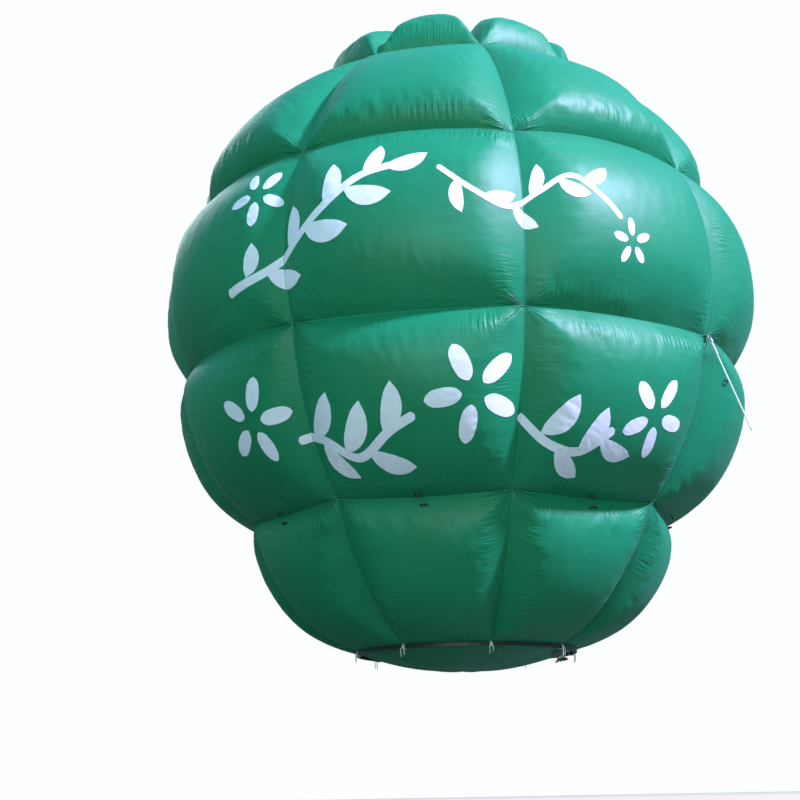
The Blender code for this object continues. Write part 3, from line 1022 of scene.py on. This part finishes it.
for name, seam in guys:
    makeGuy(name, seam)


def makeCrownLoop():
    top = rings[0][1] + 0.020
    bar = top + rope["gap"] + fitting["webbing"] + fitting["outer"] - 0.001
    axes = localAxes(Vector((0, 0, bar)), pi, radians(90))
    pad = top + rope["gap"] - bar + fitting["webbing"] / 2
    half = 0.027
    eye = eyeLine(radians(50))
    line = [(pad, -half), (pad, -0.012), *eye, (pad, 0.012), (pad, half)]
    makeStrip("crown_webbing", axes, line, "crown_loop")


makeCrownLoop()
print("guys made")
bare = {"base_hoop": hoopPaint, "crown_ring": zinc, **{f"guy_ring_{name}": zinc for name, seam in guys}}
for name, material in bare.items():
    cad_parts[name].data.materials.clear()
    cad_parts[name].data.materials.append(material)

# Taped seams in the notches between the pillows
taping = {"radius": 0.005, "proud": 0.003, "steps": 24}


def outward(tier, gore, u, v):
    # the analytic pillow's normal
    step = 0.004
    across = panelPlace(tier, gore, min(u + step, 1), v) - panelPlace(tier, gore, max(u - step, 0), v)
    down = panelPlace(tier, gore, u, min(v + step, 1)) - panelPlace(tier, gore, u, max(v - step, 0))
    return down.cross(across).normalized()


def seamPoint(tier, gore, u, v):
    lean = ringLean(tier) * (1 - v) + ringLean(tier + 1) * v
    azimuth = frontSeam + (gore + u) * goreAngle
    away = Vector((cos(lean) * sin(azimuth), -cos(lean) * cos(azimuth), sin(lean)))
    return panelPlace(tier, gore, u, v) + away * taping["proud"]


shares = [k / taping["steps"] for k in range(taping["steps"])]
for gore in range(gores):
    run = [seamPoint(tier, gore, 0, v) for tier in range(len(tiers)) for v in shares]
    run.append(seamPoint(len(tiers) - 1, gore, 0, 1))
    cordPiece(f"gore_seam_{gore + 1}", [run], taping["radius"], "envelope", "cloth", seamTape, sides=1)
for ring in range(1, len(tiers)):
    run = [seamPoint(ring - 1, gore, u, 1) for gore in range(gores) for u in shares]
    cordPiece(f"ring_seam_{ring}", [run], taping["radius"], "envelope", "cloth", seamTape, closed=True,
              sides=1)

# What lies on the cloth finds the blown-up panels by a ray, which starts this far outside
rayReach = 0.12
surfaces = {key: BVHTree.FromPolygons([vert.co for vert in panel.data.vertices],
                                      [face.vertices for face in panel.data.polygons])
            for key, panel in panels.items()}


def onCloth(tier, azimuth, v):
    # the point of the cloth at an azimuth and a place down its tier, and its normal
    gore, u = divmod((azimuth - frontSeam) / goreAngle, 1)
    gore = int(gore) % gores
    u = min(max(u, 0.002), 0.998)
    place, away = panelPlace(tier, gore, u, v), outward(tier, gore, u, v)
    found = surfaces[tier, gore].ray_cast(place + away * rayReach, -away, 2 * rayReach)[0]
    return found or place, away


# Small dark tape loops on both sides of the lowest ring seam, and one beside each guy
tabs = {
    # name, tier, place across and down it
    "rows": [("upper", 3, 0.4865, 0.962), ("lower", 4, 0.5135, 0.038)],
    "guyPlace": (0.13, 0.21),
    "width": 0.050,
    "reach": 0.030,
    "tape": 0.0056,    # radius
    "sunk": 0.002,
}


def makeTab(name, gore, tier, u, v):
    azimuth = frontSeam + (gore + u) * goreAngle
    place, away = onCloth(tier, azimuth, v)
    side = Vector((cos(azimuth), sin(azimuth), 0))
    run = []
    steps = 16
    for k in range(steps + 1):
        a = pi * k / steps
        aside = cos(a) * tabs["width"] / 2 * (1 + 0.3 * sin(a))
        run.append(place + side * aside + away * (sin(a) * tabs["reach"] - tabs["sunk"]))
    cordPiece(name, [run], tabs["tape"], "envelope", "webbing", darkCord)


for gore in range(gores):
    for name, tier, u, v in tabs["rows"]:
        makeTab(f"tie_tab_{name}_{gore + 1}", gore, tier, u, v)
for name, seam in guys:
    makeTab(f"tie_tab_{name}", seam, 3, *tabs["guyPlace"])
print("seams and tabs made")

# A painted spray of leaves and blossoms, in metres right of the front and down from a tier's top
paint = {
    "step": 0.011,
    "across": 8,        # cells across a stroke
    "proud": 0.0022,    # above the cloth
    "under": 0.0010,
    "tip": 0.08,        # width at the very ends
    "leaf": 0.88,       # how far a leaf draws in to its ends
    "petal": 0.45,
}


def unrolled(tier, x, y):
    radius = (rings[tier][0] + rings[tier + 1][0]) / 2 + 0.2
    return onCloth(tier, x / radius, y / tierHeight(tier))


def paintStroke(bm, tier, points, width, belly=0.0):
    # a brush stroke with round ends; belly draws it out to a leaf
    line = smoothRun([Vector((*point, 0)) for point in points], 10)
    steps = max(4, round(between(line) / paint["step"]))
    spread = [0.0]
    for a, b in zip(line, line[1:]):
        spread.append(spread[-1] + (b - a).length)
    total = spread[-1]
    skins = ([], [])
    for k in range(steps + 1):
        along = total * k / steps
        m = max(j for j in range(len(line) - 1) if spread[j] <= along + 1e-9)
        t = (along - spread[m]) / (spread[m + 1] - spread[m])
        middle = line[m].lerp(line[m + 1], t)
        run = (line[m + 1] - line[m]).normalized()
        near = min(along / (width / 2), (total - along) / (width / 2), 1)
        half = width / 2 * max(sqrt(max(0, 1 - (1 - near) ** 2)), paint["tip"])
        half *= 1 - belly + belly * sin(pi * min(max(along / total, 0.04), 0.96)) ** 0.8
        for skin in skins:
            skin.append([])
        for j in range(paint["across"] + 1):
            off = half * (2 * j / paint["across"] - 1)
            place, away = unrolled(tier, middle.x - run.y * off, middle.y + run.x * off)
            skins[0][-1].append(bm.verts.new(place + away * paint["proud"]))
            skins[1][-1].append(bm.verts.new(place - away * paint["under"]))
    rows, columns = steps, paint["across"]
    for skin in skins:
        for k in range(rows):
            for j in range(columns):
                bm.faces.new([skin[k][j], skin[k][j + 1], skin[k + 1][j + 1], skin[k + 1][j]])
    rim = [(0, j) for j in range(columns)] + [(k, columns) for k in range(rows)]
    rim += [(rows, j) for j in range(columns, 0, -1)] + [(k, 0) for k in range(rows, 0, -1)]
    for (k, j), (m, n) in zip(rim, rim[1:] + rim[:1]):
        bm.faces.new([skins[0][k][j], skins[1][k][j], skins[1][m][n], skins[0][m][n]])


def paintLeaf(bm, tier, x, y, turn, length, width):
    a = radians(turn)
    bend = 0.10 * length
    tip = (x + length * cos(a), y + length * sin(a))
    middle = (x + length * 0.5 * cos(a) - bend * sin(a), y + length * 0.5 * sin(a) + bend * cos(a))
    paintStroke(bm, tier, [(x, y), middle, tip], width, paint["leaf"])


def paintBlossom(bm, tier, x, y, size, turn):
    for petal in range(5):
        a = radians(turn + 72 * petal)
        near, far = size * 0.13, size * 0.53
        start, end = (x + near * cos(a), y + near * sin(a)), (x + far * cos(a), y + far * sin(a))
        middle = ((start[0] + end[0]) / 2, (start[1] + end[1]) / 2)
        paintStroke(bm, tier, [start, middle, end], size * 0.19, paint["petal"])


# tier, x, y and size of each blossom, with a turn
blossoms = [
    (2, -1.62, 0.42, 0.46, 20), (2, 1.30, 0.92, 0.30, 50),
    (3, -1.66, 0.62, 0.60, 0), (3, 0.10, 0.58, 0.66, 30), (3, 1.52, 0.66, 0.56, 10),
]
# tier, x, y, turn, length and width of each leaf
leaves = [
    (2, -1.66, 1.02, -78, 0.24, 0.12), (2, -1.50, 1.00, 14, 0.34, 0.14), (2, -1.28, 0.88, -88, 0.32, 0.14),
    (2, -1.12, 0.78, 6, 0.36, 0.15), (2, -0.94, 0.66, -86, 0.32, 0.14), (2, -0.80, 0.57, 10, 0.36, 0.14),
    (2, -0.66, 0.48, -70, 0.28, 0.13), (2, -0.50, 0.43, -16, 0.32, 0.13),
    (2, 0.02, 0.56, 84, 0.24, 0.10), (2, 0.20, 0.67, -12, 0.25, 0.10), (2, 0.42, 0.70, 40, 0.24, 0.10),
    (2, 0.56, 0.62, -74, 0.25, 0.10), (2, 0.76, 0.53, 24, 0.25, 0.10), (2, 0.94, 0.54, -30, 0.25, 0.10),
    (3, -1.20, 0.84, -54, 0.40, 0.16), (3, -1.10, 0.86, 50, 0.36, 0.15), (3, -0.90, 0.94, -62, 0.40, 0.16),
    (3, -0.72, 0.94, 20, 0.38, 0.15), (3, -0.56, 0.82, -76, 0.36, 0.15),
    (3, 0.62, 0.88, -52, 0.38, 0.15), (3, 0.74, 0.94, 40, 0.34, 0.14), (3, 0.92, 0.96, -62, 0.36, 0.15),
    (3, 1.08, 0.86, 16, 0.34, 0.13),
]
# tier, width and points of each stem
stems = [
    (2, 0.060, [(-1.86, 1.10), (-1.50, 1.00), (-1.10, 0.76), (-0.72, 0.50), (-0.44, 0.42)]),
    (2, 0.040, [(-0.12, 0.46), (0.10, 0.62), (0.36, 0.72), (0.62, 0.60), (0.86, 0.50), (1.10, 0.66),
                (1.22, 0.78)]),
    (3, 0.065, [(-1.36, 0.84), (-1.06, 0.86), (-0.80, 0.98), (-0.52, 0.80), (-0.32, 0.70)]),
    (3, 0.065, [(0.44, 0.78), (0.68, 0.94), (0.94, 0.96), (1.18, 0.78)]),
]


def makeSpray(tier, name):
    bm = bmesh.new()
    for where, *blossom in blossoms:
        if where == tier:
            paintBlossom(bm, tier, *blossom)
    for where, *leaf in leaves:
        if where == tier:
            paintLeaf(bm, tier, *leaf)
    for where, width, points in stems:
        if where == tier:
            paintStroke(bm, tier, points, width)
    bmesh.ops.recalc_face_normals(bm, faces=bm.faces)
    meshPiece(name, bm, "envelope", "cloth", whitePaint, sharp=50)


makeSpray(2, "painted_spray_upper")
makeSpray(3, "painted_spray_lower")
print("spray painted")
